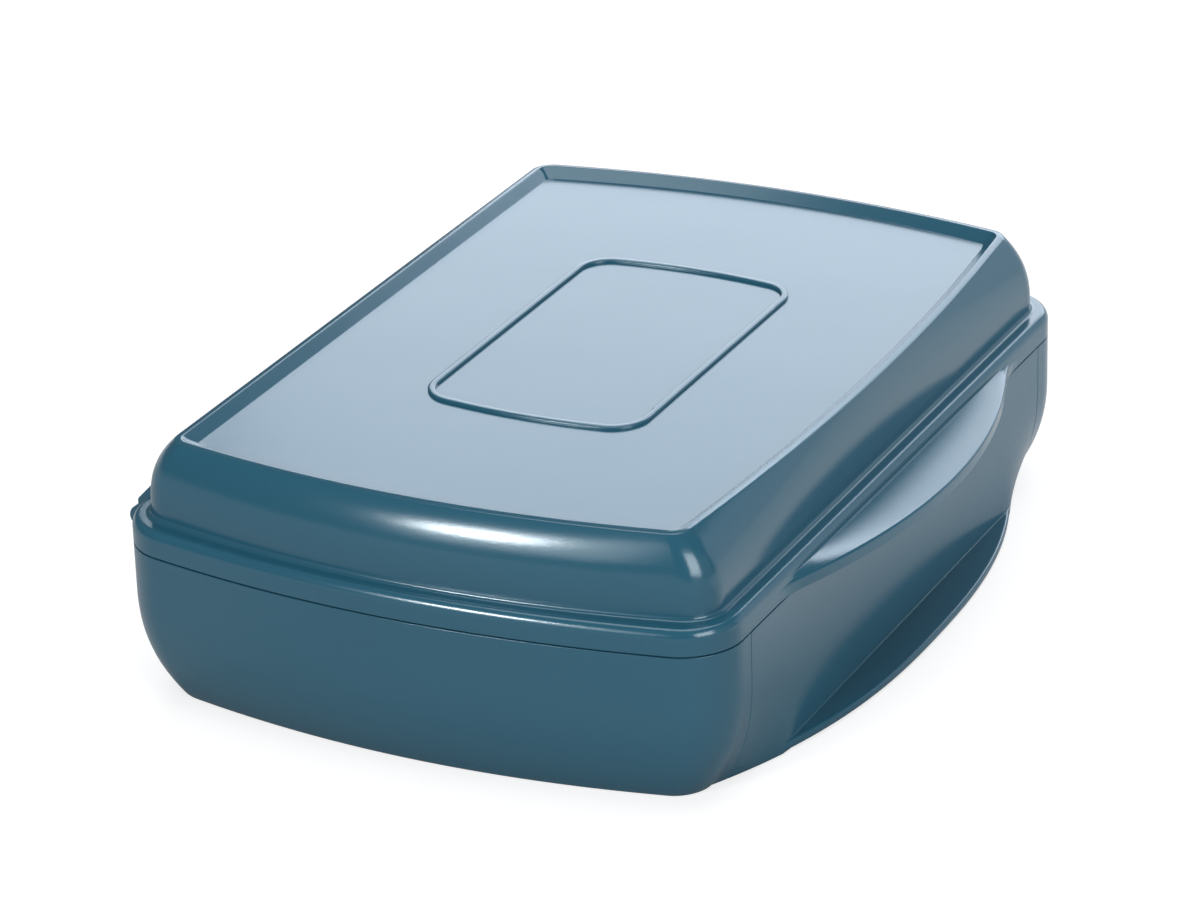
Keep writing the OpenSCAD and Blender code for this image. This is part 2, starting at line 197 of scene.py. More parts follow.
# Points of an outline along a corner, an end, the grip side and the hinge side.
CORNER_STEPS = 10
END_STEPS = 36
SIDE_STEPS = 56
HINGE_STEPS = 24


# ---- Mesh helpers ----

def deselect():
    """Leaves object mode with nothing selected."""
    if bpy.context.object and bpy.context.object.mode != "OBJECT":
        bpy.ops.object.mode_set(mode="OBJECT")
    bpy.ops.object.select_all(action="DESELECT")


def pick(obj):
    """Makes obj the only selected object, and the active one."""
    deselect()
    obj.select_set(True)
    bpy.context.view_layer.objects.active = obj


def settle(obj):
    """Moves an object's place, turn and scale into its mesh."""
    pick(obj)
    bpy.ops.object.transform_apply(location=True, rotation=True, scale=True)
    return obj


def finish_with(obj, kind, **settings):
    """Adds a modifier and applies it."""
    pick(obj)
    modifier = obj.modifiers.new(kind.lower(), kind)
    for key, value in settings.items():
        setattr(modifier, key, value)
    bpy.ops.object.modifier_apply(modifier=modifier.name)


def soften(obj, width, segments=2, degrees=40):
    """Rounds the edges that are sharper than this angle."""
    finish_with(obj, "BEVEL", width=width * MM, segments=segments, limit_method="ANGLE",
                angle_limit=math.radians(degrees))
    return obj


def smooth(obj, degrees=32):
    """Smooth shading that keeps edges sharper than this angle, with flat faces kept flat."""
    pick(obj)
    bpy.ops.object.shade_smooth_by_angle(angle=math.radians(degrees))
    finish_with(obj, "WEIGHTED_NORMAL", keep_sharp=True, weight=60)


def combine(obj, other, operation="UNION"):
    """Joins other to obj as one solid, or cuts it out of obj, and removes it."""
    finish_with(obj, "BOOLEAN", operation=operation, object=other, solver="EXACT")
    bpy.data.objects.remove(other)


def outward(obj):
    """Turns all normals of a closed mesh outward."""
    pick(obj)
    bpy.ops.object.mode_set(mode="EDIT")
    bpy.ops.mesh.select_all(action="SELECT")
    bpy.ops.mesh.normals_make_consistent(inside=False)
    bpy.ops.object.mode_set(mode="OBJECT")
    return obj


def wrap(name, rings, closed=False):
    """A grid bent round a list of rings, all with the same number of points, in millimetres.

    The skin's two ends are filled, or, where it is closed, the last ring meets the first."""
    if closed:
        rings = rings + [rings[0]]
    rows, columns = len(rings), len(rings[0])
    deselect()
    bpy.ops.mesh.primitive_grid_add(x_subdivisions=columns, y_subdivisions=rows - 1)
    obj = bpy.context.object
    obj.name = obj.data.name = name
    points = np.array([[*ring, ring[0]] for ring in rings], float) * MM
    obj.data.vertices.foreach_set("co", points.ravel())
    bpy.ops.object.mode_set(mode="EDIT")
    bpy.ops.mesh.select_all(action="SELECT")
    bpy.ops.mesh.remove_doubles(threshold=0.002 * MM)
    bpy.ops.mesh.select_all(action="DESELECT")
    bpy.ops.mesh.select_mode(type="EDGE")
    margin = 1e-6
    for end in (() if closed else (points[0], points[-1])):
        low, high = end[:, 2].min() - margin, end[:, 2].max() + margin
        mesh = bmesh.from_edit_mesh(obj.data)
        for edge in mesh.edges:
            edge.select_set(bool(edge.is_boundary and low < edge.verts[0].co.z < high))
        bpy.ops.mesh.edge_face_add()
        bpy.ops.mesh.select_all(action="DESELECT")
    return outward(obj)


def extrude_plan(name, plan, low, high, bevel=0.0, segments=2):
    """A flat plan of points in X and Y, in millimetres, raised from low to high."""
    deselect()
    bpy.ops.mesh.primitive_circle_add(vertices=len(plan), fill_type="NGON")
    obj = bpy.context.object
    obj.name = obj.data.name = name
    obj.data.vertices.foreach_set("co", [v * MM for x, y in plan for v in (x, y, low)])
    bpy.ops.object.mode_set(mode="EDIT")
    bpy.ops.mesh.select_all(action="SELECT")
    bpy.ops.mesh.extrude_region_move(
        TRANSFORM_OT_translate={"value": (0, 0, (high - low) * MM)})
    outward(obj)
    return soften(obj, bevel, segments) if bevel else obj


def stand_up(obj):
    """Turns a plan that was raised along Z so that its Y runs up and its height along -Y."""
    obj.rotation_euler = (math.radians(90), 0, 0)
    return settle(obj)


def cylinder(name, radius, place, length, bevel=0.0, steps=64, tip=None, along_y=False):
    """A round bar or cone about its middle at place, in millimetres, along Z or Y."""
    deselect()
    place = Vector(place) * MM
    turn = (math.radians(90), 0, 0) if along_y else (0, 0, 0)
    if tip is None:
        bpy.ops.mesh.primitive_cylinder_add(vertices=steps, radius=radius * MM,
                                            depth=length * MM, location=place, rotation=turn)
    else:
        bpy.ops.mesh.primitive_cone_add(vertices=steps, radius1=radius * MM, radius2=tip * MM,
                                        depth=length * MM, location=place, rotation=turn)
    obj = settle(bpy.context.object)
    obj.name = obj.data.name = name
    return soften(obj, bevel, segments=3, degrees=60) if bevel else obj


def box(name, low, high):
    """A block between two corners, in millimetres."""
    deselect()
    low, high = Vector(low), Vector(high)
    bpy.ops.mesh.primitive_cube_add(size=MM, location=(low + high) / 2 * MM, scale=high - low)
    obj = settle(bpy.context.object)
    obj.name = obj.data.name = name
    return obj


def hinge_bar(name, radius, y_from, y_to, bevel=0.0):
    """A round bar on the hinge's axis."""
    place = (HINGE.x, (y_from + y_to) / 2, HINGE.z)
    return cylinder(name, radius, place, abs(y_to - y_from), bevel, along_y=True)


def place_piece(obj, node, body):
    """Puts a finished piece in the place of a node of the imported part."""
    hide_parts(node)
    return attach(obj, body)


# ---- Outlines ----

def outline(half_w, mid_l, bow, corner, z, side=None, line=0.0):
    """A closed outline with bowed ends, counter-clockwise from the near grip corner.

    side gives how far the grip side stands out at each y, and line the depth of the two
    upright mould lines on it."""
    half_l = mid_l - bow
    cx, cy = half_w - corner, half_l - corner
    line_y = cy - SLIDE_LINE_IN

    def arc(mx, my, start):
        a = np.radians(start + np.linspace(0, 90, CORNER_STEPS + 1))
        return np.stack([mx + corner * np.cos(a), my + corner * np.sin(a)], 1)

    def row(x, y):
        return np.stack(np.broadcast_arrays(x, y), 1).astype(float)

    outer = np.linspace(cy, line_y + SLIDE_LINE_HALF_W, 5)[1:]
    inner = np.linspace(line_y - SLIDE_LINE_HALF_W, 0, SIDE_STEPS // 2)
    half_side = np.concatenate([outer, [line_y], inner])
    side_y = np.concatenate([-half_side, half_side[-2::-1]])
    grip = row(half_w, side_y)
    if side is not None:
        grip[:, 0] += side(side_y)
    grip[np.isclose(np.abs(side_y), line_y), 0] -= line
    end_x = np.linspace(-cx, cx, END_STEPS + 1)[1:-1]
    hinge_y = np.linspace(cy, -cy, HINGE_STEPS + 1)[1:-1]
    flat = np.concatenate([
        arc(cx, -cy, -90), grip, arc(cx, cy, 0), row(end_x[::-1], half_l),
        arc(-cx, cy, 90), row(-half_w, hinge_y), arc(-cx, -cy, 180), row(end_x, -half_l)])
    share = 1 - (np.minimum(np.abs(flat[:, 0]), half_w) / half_w) ** 2
    bent = np.abs(flat[:, 1]) > cy + 1e-6
    flat[bent, 1] += np.sign(flat[bent, 1]) * bow * share[bent]
    return np.column_stack([flat, np.full(len(flat), float(z))])


def quarter(radius, steps=4):
    """Quarter of a circle as (across, up) pairs, from (0, 0) to (radius, radius)."""
    angles = [math.radians(90 * k / steps) for k in range(steps + 1)]
    return [(radius * (1 - math.cos(a)), radius * math.sin(a)) for a in angles]


def arcs(parts, steps):
    """Arcs of (radius, end angle) that follow each other, as (across, up) pairs."""
    pairs, start = [(0.0, 0.0)], 0.0
    for radius, end in parts:
        from_across, from_up = pairs[-1]
        first, last = math.radians(start), math.radians(end)
        for k in range(1, steps + 1):
            a = first + (last - first) * k / steps
            pairs.append((from_across + radius * (math.cos(first) - math.cos(a)),
                          from_up + radius * (math.sin(a) - math.sin(first))))
        start = end
    return pairs


def hollow(radius, steps):
    """Quarter of a hollow, as (left, up) pairs: left across falls to 0 as it rises."""
    angles = [math.radians(90 * k / steps) for k in range(steps + 1)]
    return [(radius * (1 - math.sin(a)), radius * (1 - math.cos(a))) for a in angles]


def round_cut(radius, depth):
    """How far a rounding is cut back at a distance from the face it runs into."""
    if depth >= radius:
        return 0.0
    return radius - math.sqrt(radius * radius - (radius - depth) ** 2)


# ---- Base ----

def base_tuck(z):
    """The share of its tucks by which the base has drawn in at this height."""
    return max(0.0, 1 - z / TUCK_H) ** TUCK_POWER


def base_side(z, trim, cap, share):
    """How far the base's grip side stands out from its outline, as a function of y.

    The wall runs straight down where the grip's arc passes it. The grip is the rest of the
    arc: trim cuts its edge back, share takes a part of it and cap limits it."""

    def shift(y):
        arc = (TUCK + BASE_GRIP_OUT) * np.maximum(0, 1 - np.abs(y / BASE_GRIP_HALF) ** GRIP_POWER)
        wall = np.minimum(arc, TUCK)
        grip = np.minimum(np.maximum(arc - wall - trim, 0) * share, cap)
        return base_tuck(z) * wall + grip

    return shift


def base_outline(z, inset, trim=0.0, cap=0.0, share=1.0, line=0.0):
    """Outline of the base at this height, inset from its outer face, without a grip or, where
    a cap is given, with one."""
    t = base_tuck(z)
    return outline(
        HALF_W - TUCK * t - inset, HALF_L - END_TUCK * t - inset,
        END_BOW + (FLOOR_BOW - END_BOW) * t,
        max(1.0, CORNER + (FLOOR_CORNER - CORNER) * t - inset), z,
        base_side(z, trim, cap, share), line)


def base_rings():
    """The base's skin: underside, grip, outer wall, rim, groove, inner wall and floor."""
    foot_r, root_r, rim_r, edge = 0.5, 0.12, 0.1, 0.2
    top_share = 0.9
    line = SLIDE_LINE_D
    rings = [base_outline(0, 3, cap=NO_CAP),
             base_outline(0, 1.2, trim=GRIP_LOWER_R + 0.4, cap=NO_CAP)]
    for z in (0, 0.04, 0.13, 0.27, 0.5, 0.8, 1.1, 1.4, 1.5, 1.6, 1.68, 1.74, 1.78, BASE_GRIP_T):
        trim = round_cut(GRIP_LOWER_R, z) + round_cut(GRIP_EDGE_R, BASE_GRIP_T - z)
        rings.append(base_outline(z, round_cut(foot_r, z), trim, NO_CAP, line=line))
    for cap in (NO_CAP, root_r + 0.5):
        rings.append(base_outline(BASE_GRIP_T, 0, GRIP_EDGE_R, cap, top_share, line))
    rings += [base_outline(BASE_GRIP_T + up, 0, GRIP_EDGE_R, left, top_share, line)
              for left, up in hollow(root_r, 6)]

    wall_from, wall_to, wall_steps = BASE_GRIP_T + root_r, BASE_LIP - rim_r, 22
    for k in range(1, wall_steps):
        z = wall_from + (wall_to - wall_from) * (k / wall_steps) ** 1.15
        rings.append(base_outline(z, 0, line=line))
    rings += [base_outline(wall_to + up, across, line=line * (k < 3))
              for k, (across, up) in enumerate(quarter(rim_r, 3))]

    rings += [base_outline(BASE_LIP, GROOVE_OUTER - rim_r),
              base_outline(BASE_LIP - rim_r, GROOVE_OUTER),
              base_outline(GROOVE_Z, GROOVE_OUTER),
              base_outline(GROOVE_Z, GROOVE_INNER),
              base_outline(BASE_TOP - rim_r, GROOVE_INNER),
              base_outline(BASE_TOP, GROOVE_INNER + rim_r),
              base_outline(BASE_TOP, RIM_W - edge),
              base_outline(BASE_TOP - edge, RIM_W),
              base_outline(BAND_Z, RIM_W),
              base_outline(BAND_FOOT_Z, WALL)]
    floor_from = FLOOR_T + FLOOR_R
    rings += [base_outline(z, WALL) for z in np.linspace(BAND_FOOT_Z, floor_from, 12)[1:]]
    rings += [base_outline(floor_from - up, WALL + across) for across, up in quarter(FLOOR_R, 6)]
    rings.append(base_outline(FLOOR_T, WALL + FLOOR_R + 2))
    return rings


# ---- Lid ----

def lid_grip(trim, cap, share):
    """How far the lid's grip stands out, as a function of y, its ends blended in."""
    soft = 0.45

    def shift(y):
        free = LID_GRIP_OUT * (1 - (y / LID_GRIP_HALF) ** 2)
        out = soft * np.logaddexp(0, free / soft)
        return np.minimum(np.maximum(out - trim, 0) * share, cap)

    return shift


def flange_outline(z, inset, trim=0.0, cap=NO_CAP, share=1.0):
    """Outline of the lid's flange, inset from its face, with the grip or, capped at 0,
    without it."""
    return outline(HALF_W - inset, HALF_L - inset, END_BOW, max(1.0, CORNER - inset), z,
                   lid_grip(trim, cap, share))


def slope_outline(z, share, inset=0.0):
    """Outline between the slope's foot, share 0, and the top rim, share 1."""
    start_r = CORNER - LEDGE_W

    def bowed(y):
        reach = HALF_L - RIM_END_TUCK - RIM_BOW - RIM_CORNER
        return RIM_SIDE_BOW * share * np.maximum(0, 1 - (y / reach) ** 2)

    return outline(
        HALF_W - LEDGE_W + (LEDGE_W - RIM_TUCK) * share - inset,
        HALF_L - LEDGE_W + (LEDGE_W - RIM_END_TUCK) * share - inset,
        END_BOW + (RIM_BOW - END_BOW) * share,
        max(1.0, start_r + (RIM_CORNER - start_r) * share - inset), z, bowed)


def slope_share(z):
    """How much of the way in to the rim the slope has come at this height."""
    return (max(0.0, z - SLOPE_Z) / (SLOPE_TOP - SLOPE_Z)) ** SLOPE_POWER


def lid_inside():
    """Rings of the lid's skin from the ceiling down to its lip."""
    edge, lip_w = 0.2, 1.0
    rings = [slope_outline(CEILING_Z, slope_share(CEILING_Z), WALL + 4)]
    for left, down in hollow(CEILING_R, 6):
        z = CEILING_Z - down
        rings.append(slope_outline(z, slope_share(z), WALL + left))
    rings += [slope_outline(z, slope_share(z), WALL)
              for z in np.linspace(CEILING_Z - CEILING_R, SLOPE_Z + 1.2, 9)[1:]]
    return rings + [flange_outline(LID_FOOT + edge, RIM_W, cap=0),
                    flange_outline(LID_FOOT, RIM_W - edge, cap=0),
                    flange_outline(LID_FOOT, lip_w, cap=0),
                    flange_outline(LID_LIP, lip_w - 0.1, cap=0)]


def lid_outside():
    """Rings of the lid's skin from its lip over the grip, flange and slope to the rim."""
    lip_r = 0.12
    grip_z = LID_FOOT + LID_GRIP_T - LID_GRIP_DROP
    rolled = arcs(FLANGE_ARCS, 6)
    roll_in, roll_up = rolled[-1]
    face_z = LEDGE_Z - roll_up
    rings = [flange_outline(LID_LIP, lip_r + 0.3, trim=0.3)]
    rings += [flange_outline(LID_LIP + up, left) for left, up in hollow(lip_r, 3)]
    rings += [flange_outline(grip_z - GRIP_EDGE_R + up, 0, trim=across)
              for across, up in quarter(GRIP_EDGE_R, 5)]
    # The grip's top: as its share of the reach falls, it rises to the flange's face.
    rings += [flange_outline(grip_z + (face_z - grip_z) * rise, 0, GRIP_EDGE_R, NO_CAP, share)
              for share, rise in ((0.97, 0.03), (0.88, 0.14), (0.72, 0.30), (0.55, 0.47),
                                  (0.38, 0.64), (0.22, 0.80), (0.10, 0.93), (0.03, 0.99))]
    rings += [flange_outline(face_z + up, across, cap=0) for across, up in rolled]
    rings += [flange_outline(LEDGE_Z, inset, cap=0)
              for inset in (roll_in + 0.2, LEDGE_W - FOOT_R - 0.2)]
    rings += [flange_outline(LEDGE_Z + up, LEDGE_W - left, cap=0)
              for left, up in hollow(FOOT_R, 6)]
    slope_steps = 25
    for k in range(1, slope_steps + 1):
        z = SLOPE_Z + (SLOPE_TOP - SLOPE_Z) * (1 - (1 - k / slope_steps) ** 1.4)
        rings.append(slope_outline(z, slope_share(z)))
    return rings + [slope_outline(LID_TOP - down, 1, inset)
                    for down, inset in ((0.16, 0.08), (0.12, 0.2), (0.08, 0.36))]


def lid_recess():
    """Rings of the lid's skin from the rim's land down the leaning wall to the panel."""
    depth = LID_TOP - PANEL_Z
    lean = math.atan2(depth, RECESS_IN)
    crown_r, root_r = 0.5, 0.25
    crown_in = LAND_W - crown_r * math.tan(lean / 2)
    root_in = LAND_W + RECESS_IN + root_r * math.tan(lean / 2)
    rings = []
    for k in range(6):
        a = lean * k / 5
        rings.append(slope_outline(LID_TOP - crown_r * (1 - math.cos(a)), 1,
                                   crown_in + crown_r * math.sin(a)))
    for share in (0.3, 0.55, 0.8):
        rings.append(slope_outline(LID_TOP - depth * share, 1, LAND_W + RECESS_IN * share))
    for k in range(4):
        a = lean * (1 - k / 3)
        rings.append(slope_outline(PANEL_Z + root_r * (1 - math.cos(a)), 1,
                                   root_in - root_r * math.sin(a)))
    return rings + [slope_outline(PANEL_Z, 1, LAND_W + RECESS_IN + inner) for inner in (1, 4)]


def panel_bead():
    """The raised frame on the panel, as a closed ring with a rounded section."""
    half = [(0, -0.2), (0, BEAD_H - 0.25), (0.08, BEAD_H - 0.1), (0.25, BEAD_H)]
    section = half + [(BEAD_W - inset, up) for inset, up in reversed(half)]
    rings = [outline(FRAME_HALF_W - inset, FRAME_HALF_L - inset, FRAME_BOW, FRAME_R - inset,
                     PANEL_Z + up) for inset, up in section]
    for ring in rings:
        ring[:, 0] += FRAME_SHIFT
    return wrap("panel_bead", rings, closed=True)


# ---- Hinges and magnet seats, moulded on the shells ----

def lid_arm(y_from, y_to):
    """An arm from the lid's slope down to its knuckle."""
    face_x = HINGE.x - 0.15
    inner_x = -HALF_W + LEDGE_W + WALL / 2
    top_z = LEDGE_Z + 4.1
    plan = [(face_x, LID_FOOT), (-HALF_W + WALL, LID_FOOT), (inner_x, LEDGE_Z + 1),
            (inner_x, top_z), (-HALF_W + LEDGE_W, top_z), (face_x, LEDGE_Z - 1.2)]
    arm = stand_up(extrude_plan("lid_arm", plan, -y_from, -y_to, bevel=0.25, segments=3))
    combine(arm, hinge_bar("lid_knuckle", KNUCKLE_R, y_from, y_to, bevel=0.2))
    return arm


def base_arm(y_from, y_to):
    """The base's knuckle on its web."""
    below = KNUCKLE_R * math.sin(math.radians(45))
    inner_x = -HALF_W + WALL / 4
    top_z = BASE_TOP - 0.3
    plan = [(HINGE.x - below, HINGE.z - below), (inner_x, HINGE.z - KNUCKLE_R - 3),
            (inner_x, top_z), (HINGE.x, top_z)]
    arm = stand_up(extrude_plan("base_arm", plan, -y_from, -y_to, bevel=0.2, segments=3))
    combine(arm, hinge_bar("base_knuckle", KNUCKLE_R, y_from, y_to, bevel=0.2))
    return arm


def magnet_boss(face_z, up, y, reach):
    """A boss with a web that runs out to reach. up is 1 where it stands above face_z, else -1."""
    at = (MAGNET_X, y)
    taper = BOSS_R - BOSS_TIP_R
    below_r, above_r = (BOSS_R, BOSS_TIP_R) if up > 0 else (BOSS_TIP_R, BOSS_R)
    tip_z = face_z + up * (BOSS_H + taper / 2 - OVERLAP)
    boss = cylinder("magnet_boss", BOSS_R, (*at, face_z + up * BOSS_H / 2), BOSS_H, bevel=0.2)
    combine(boss, cylinder("boss_tip", below_r, (*at, tip_z), taper, tip=above_r))
    web_low, web_high = sorted((face_z + up * 1.6, face_z + up * (BOSS_H + 1)))
    combine(boss, box("boss_web", (MAGNET_X, y - WEB_HALF_W, web_low),
                      (reach, y + WEB_HALF_W, web_high)))
    return boss


def cut_pocket(obj, face_z, up, y):
    """Cuts a magnet's pocket into a boss, from 1 mm outside its face."""
    outside = 1
    middle = (MAGNET_X, y, face_z + up * (MAGNET_T - outside) / 2)
    combine(obj, cylinder("pocket", POCKET_R, middle, MAGNET_T + outside), "DIFFERENCE")


def both(value):
    """A distance on both sides of the middle."""
    return (value, -value)


def make_base():
    base = wrap("base_moulding", base_rings())
    for y in both(MAGNET_Y):
        combine(base, magnet_boss(BASE_TOP, -1, y, HALF_W - WALL / 2))
        cut_pocket(base, BASE_TOP, -1, y)
    for side in (1, -1):
        y_from, y_to = (side * y for y in BASE_KNUCKLE)
        combine(base, base_arm(max(y_from, y_to), min(y_from, y_to)))
        combine(base, hinge_bar("bore", BASE_BORE_R, y_from + side, y_to - side), "DIFFERENCE")
    smooth(base)
    return place_piece(base, "base_shell", "base")


def make_lid():
    lid = wrap("lid_moulding", lid_inside() + lid_outside() + lid_recess())
    combine(lid, panel_bead())
    for y in both(MAGNET_Y):
        combine(lid, magnet_boss(LID_FOOT, 1, y, HALF_W - LEDGE_W - WALL / 2))
        cut_pocket(lid, LID_FOOT, 1, y)
    for side in (1, -1):
        for knuckle in LID_KNUCKLES:
            y_from, y_to = (side * y for y in knuckle)
            combine(lid, lid_arm(max(y_from, y_to), min(y_from, y_to)))
        combine(lid, hinge_bar("bore", LID_BORE_R, side * (PIN_END + 1), side * BORE_END),
                "DIFFERENCE")
    smooth(lid)
    return place_piece(lid, "lid_shell", "lid")


# ---- Seal, pins, magnets and mats ----

def make_seal():
    """A ring with rounded shoulders, from the groove's foot to just under the lid's rim."""
    outer, inner = GROOVE_OUTER + SEAL_GAP, GROOVE_INNER - SEAL_GAP
    soft = 0.5
    shoulder_z = LID_FOOT - SEAL_GAP - soft
    rings = [base_outline(GROOVE_Z, inner)]
    rings += [base_outline(shoulder_z + up, inner - across) for across, up in quarter(soft)]
    rings += [base_outline(shoulder_z + up, outer + across)
              for across, up in reversed(quarter(soft))]
    rings.append(base_outline(GROOVE_Z, outer))
    seal = wrap("rim_seal_cord", rings, closed=True)
    smooth(seal)
    return place_piece(seal, "rim_seal", "base")


def make_pin(name, side):
    pin = hinge_bar(name + "_wire", PIN_R, side * PIN_END, side * BORE_END, bevel=0.15)
    smooth(pin)
    return place_piece(pin, name, "lid")


def make_magnet(name, face_z, up, y, body):
    middle = (MAGNET_X, y, face_z + up * MAGNET_T / 2)
    disc = cylinder(name + "_disc", MAGNET_R, middle, MAGNET_T, bevel=0.15)
    smooth(disc)
    return place_piece(disc, name, body)


def comb_plan(length):
    """A ridge seen from its side: teeth with slits between them."""
    pitch = length / TEETH
    plan = [(-length / 2, 0)]
    for i in range(TEETH):
        left = -length / 2 + i * pitch + SLIT_W / 2
        right = left + pitch - SLIT_W
        plan += [(left, 0 if i == 0 else SLIT_Z), (left, RIDGE_H), (right, RIDGE_H),
                 (right, 0 if i == TEETH - 1 else SLIT_Z)]
    return plan + [(length / 2, 0)]


def make_mat(name, face_z, up, body):
    """A slit mat: a pad with a row of soft combs across it. up is 1 in the base, -1 in the lid."""
    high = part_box(name)[1]
    half_w, mid_l = high.x / MM, high.y / MM
    bow = FLOOR_BOW if up > 0 else END_BOW + (RIM_BOW - END_BOW) * slope_share(CEILING_Z)
    plan = outline(half_w, mid_l, bow, PAD_CORNER, 0)[:, :2]
    mat = extrude_plan(name + "_pad", plan.tolist(), 0, PAD_T, bevel=0.2)
    pitch = 2 * (mid_l - bow - RIDGE_END_GAP) / RIDGES
    comb = stand_up(extrude_plan("comb", comb_plan(2 * (half_w - RIDGE_SIDE_GAP)),
                                 -RIDGE_T / 2, RIDGE_T / 2, bevel=0.14))
    comb.location = (0, -pitch * (RIDGES - 1) / 2 * MM, (PAD_T - OVERLAP) * MM)
    settle(comb)
    finish_with(comb, "ARRAY", count=RIDGES, use_relative_offset=False,
                use_constant_offset=True, constant_offset_displace=(0, pitch * MM, 0))
    combine(mat, comb)
    mat.rotation_euler = (0 if up > 0 else math.radians(180), 0, 0)
    mat.location = (0, 0, face_z * MM)
    settle(mat)
    smooth(mat)
    return place_piece(mat, name, body)


base = make_base()
lid = make_lid()
seal = make_seal()
pins = [make_pin("hinge_pin_near", -1), make_pin("hinge_pin_far", 1)]
magnets = []
for end, y in (("near", -MAGNET_Y), ("far", MAGNET_Y)):
    magnets.append(make_magnet("base_magnet_" + end, BASE_TOP, -1, y, "base"))
    magnets.append(make_magnet("lid_magnet_" + end, LID_FOOT, 1, y, "lid"))
mats = [make_mat("base_mat", FLOOR_T, 1, "base"), make_mat("lid_mat", CEILING_Z, -1, "lid")]


# ---- Materials ----

class Value:
    """A shader socket that takes part in sums and products."""

    def __init__(self, graph, socket):
        self.graph = graph
        self.socket = socket

    def __add__(self, other):
        return self.graph.math("ADD", self, other)

    def __sub__(self, other):
        return self.graph.math("SUBTRACT", self, other)

    def __rsub__(self, other):
        return self.graph.math("SUBTRACT", other, self)

    def __mul__(self, other):
        return self.graph.math("MULTIPLY", self, other)

    __radd__ = __add__
    __rmul__ = __mul__


class Graph:
    """A material under construction, with Object coordinates in metres."""

    def __init__(self, name):
        self.material = bpy.data.materials.new(name)
        self.material.use_nodes = True
        self.nodes = self.material.node_tree.nodes
        self.shader = self.nodes["Principled BSDF"]
        self.place = self.node("ShaderNodeTexCoord").outputs["Object"]

    def node(self, kind, settings=None, inputs=None):
        node = self.nodes.new(kind)
        for key, value in (settings or {}).items():
            setattr(node, key, value)
        for key, value in (inputs or {}).items():
            self.feed(node.inputs[key], value)
        return node

    def feed(self, socket, value):
        if isinstance(value, Value):
            value = value.socket
        if isinstance(value, bpy.types.NodeSocket):
            self.material.node_tree.links.new(value, socket)
        else:
            socket.default_value = value

    def math(self, operation, a, b):
        node = self.node("ShaderNodeMath", {"operation": operation}, {0: a, 1: b})
        return Value(self, node.outputs[0])

    def noise(self, scale, detail=2.0, roughness=0.5, stretch=None):
        """Noise from 0 to 1 whose features are about 1 / scale metres across."""
        place = self.place
        if stretch:
            place = self.node("ShaderNodeMapping", {"vector_type": "POINT"},
                              {"Vector": place, "Scale": stretch}).outputs["Vector"]
        node = self.node("ShaderNodeTexNoise", None, {
            "Vector": place, "Scale": scale, "Detail": detail, "Roughness": roughness})
        return Value(self, node.outputs["Factor" if "Factor" in node.outputs else "Fac"])

    def band(self, value, low, high):
        """0 below low and 1 above high, with a soft step between them."""
        node = self.node("ShaderNodeMapRange", {"interpolation_type": "SMOOTHSTEP"},
                         {"Value": value, "From Min": low, "From Max": high})
        return Value(self, node.outputs["Result"])

    def blend(self, share, first, second):
        """Mixes two colours, by the Mix node's colour inputs 6 and 7 and colour output 2."""
        node = self.node("ShaderNodeMix", {"data_type": "RGBA"},
                         {"Factor": share, 6: first, 7: second})
        return node.outputs[2]

    def bump(self, height, distance, strength=1.0, below=None):
        inputs = {"Height": height, "Distance": distance, "Strength": strength}
        if below is not None:
            inputs["Normal"] = below
        return self.node("ShaderNodeBump", None, inputs).outputs["Normal"]

    def finish(self, **inputs):
        for key, value in inputs.items():
            self.feed(self.shader.inputs[key.replace("_", " ")], value)
        return self.material


def moulded_plastic(name, colour, deep):
    """Teal satin-gloss plastic with a very fine moulded texture."""
    g = Graph(name)
    grain = g.noise(3600, 3, 0.6)
    flow = g.noise(34, 2, 0.5)
    shade = flow * 0.6 + grain * 0.4
    rough = 0.125 + grain * 0.05 + flow * 0.02
    gentle = g.bump(flow, 0.0006, 0.12)
    # Specular_Tint paints a cool tint into the reflections, standing in for bluish light.
    return g.finish(Base_Color=g.blend(shade, deep, colour), Roughness=rough,
                    Normal=g.bump(grain, 0.00003, 0.35, gentle), IOR=1.60,
                    Specular_Tint=(0.86, 0.95, 1.0, 1))


def seal_rubber():
    """Dark grey rubber with a fine matte grain."""
    g = Graph("seal_rubber")
    grain = g.noise(2600, 3, 0.6)
    colour = g.blend(g.noise(160, 3), (0.030, 0.033, 0.033, 1), (0.055, 0.056, 0.054, 1))
    return g.finish(Base_Color=colour, Roughness=0.55 + grain * 0.2,
                    Normal=g.bump(grain, 0.00004, 0.5))


def mat_silicone():
    """Pale, slightly cloudy silicone with a fine matte grain."""
    g = Graph("mat_silicone")
    cloud = g.noise(70, 3, 0.55)
    grain = g.noise(2400, 3, 0.6)
    colour = g.blend(cloud, (0.56, 0.60, 0.61, 1), (0.68, 0.71, 0.71, 1))
    return g.finish(Base_Color=colour, Roughness=0.38 + grain * 0.16 + cloud * 0.08,
                    Normal=g.bump(grain, 0.00005, 0.4))


def pin_steel():
    """Drawn wire: fine scratches along the hinge's axis."""
    g = Graph("pin_steel")
    drawn = g.noise(1.0, 4, 0.6, stretch=(9000, 160, 9000))
    colour = g.blend(drawn, (0.44, 0.45, 0.47, 1), (0.62, 0.63, 0.65, 1))
    return g.finish(Base_Color=colour, Metallic=1.0, Roughness=0.22 + drawn * 0.2,
                    Normal=g.bump(drawn, 0.00001, 0.3))


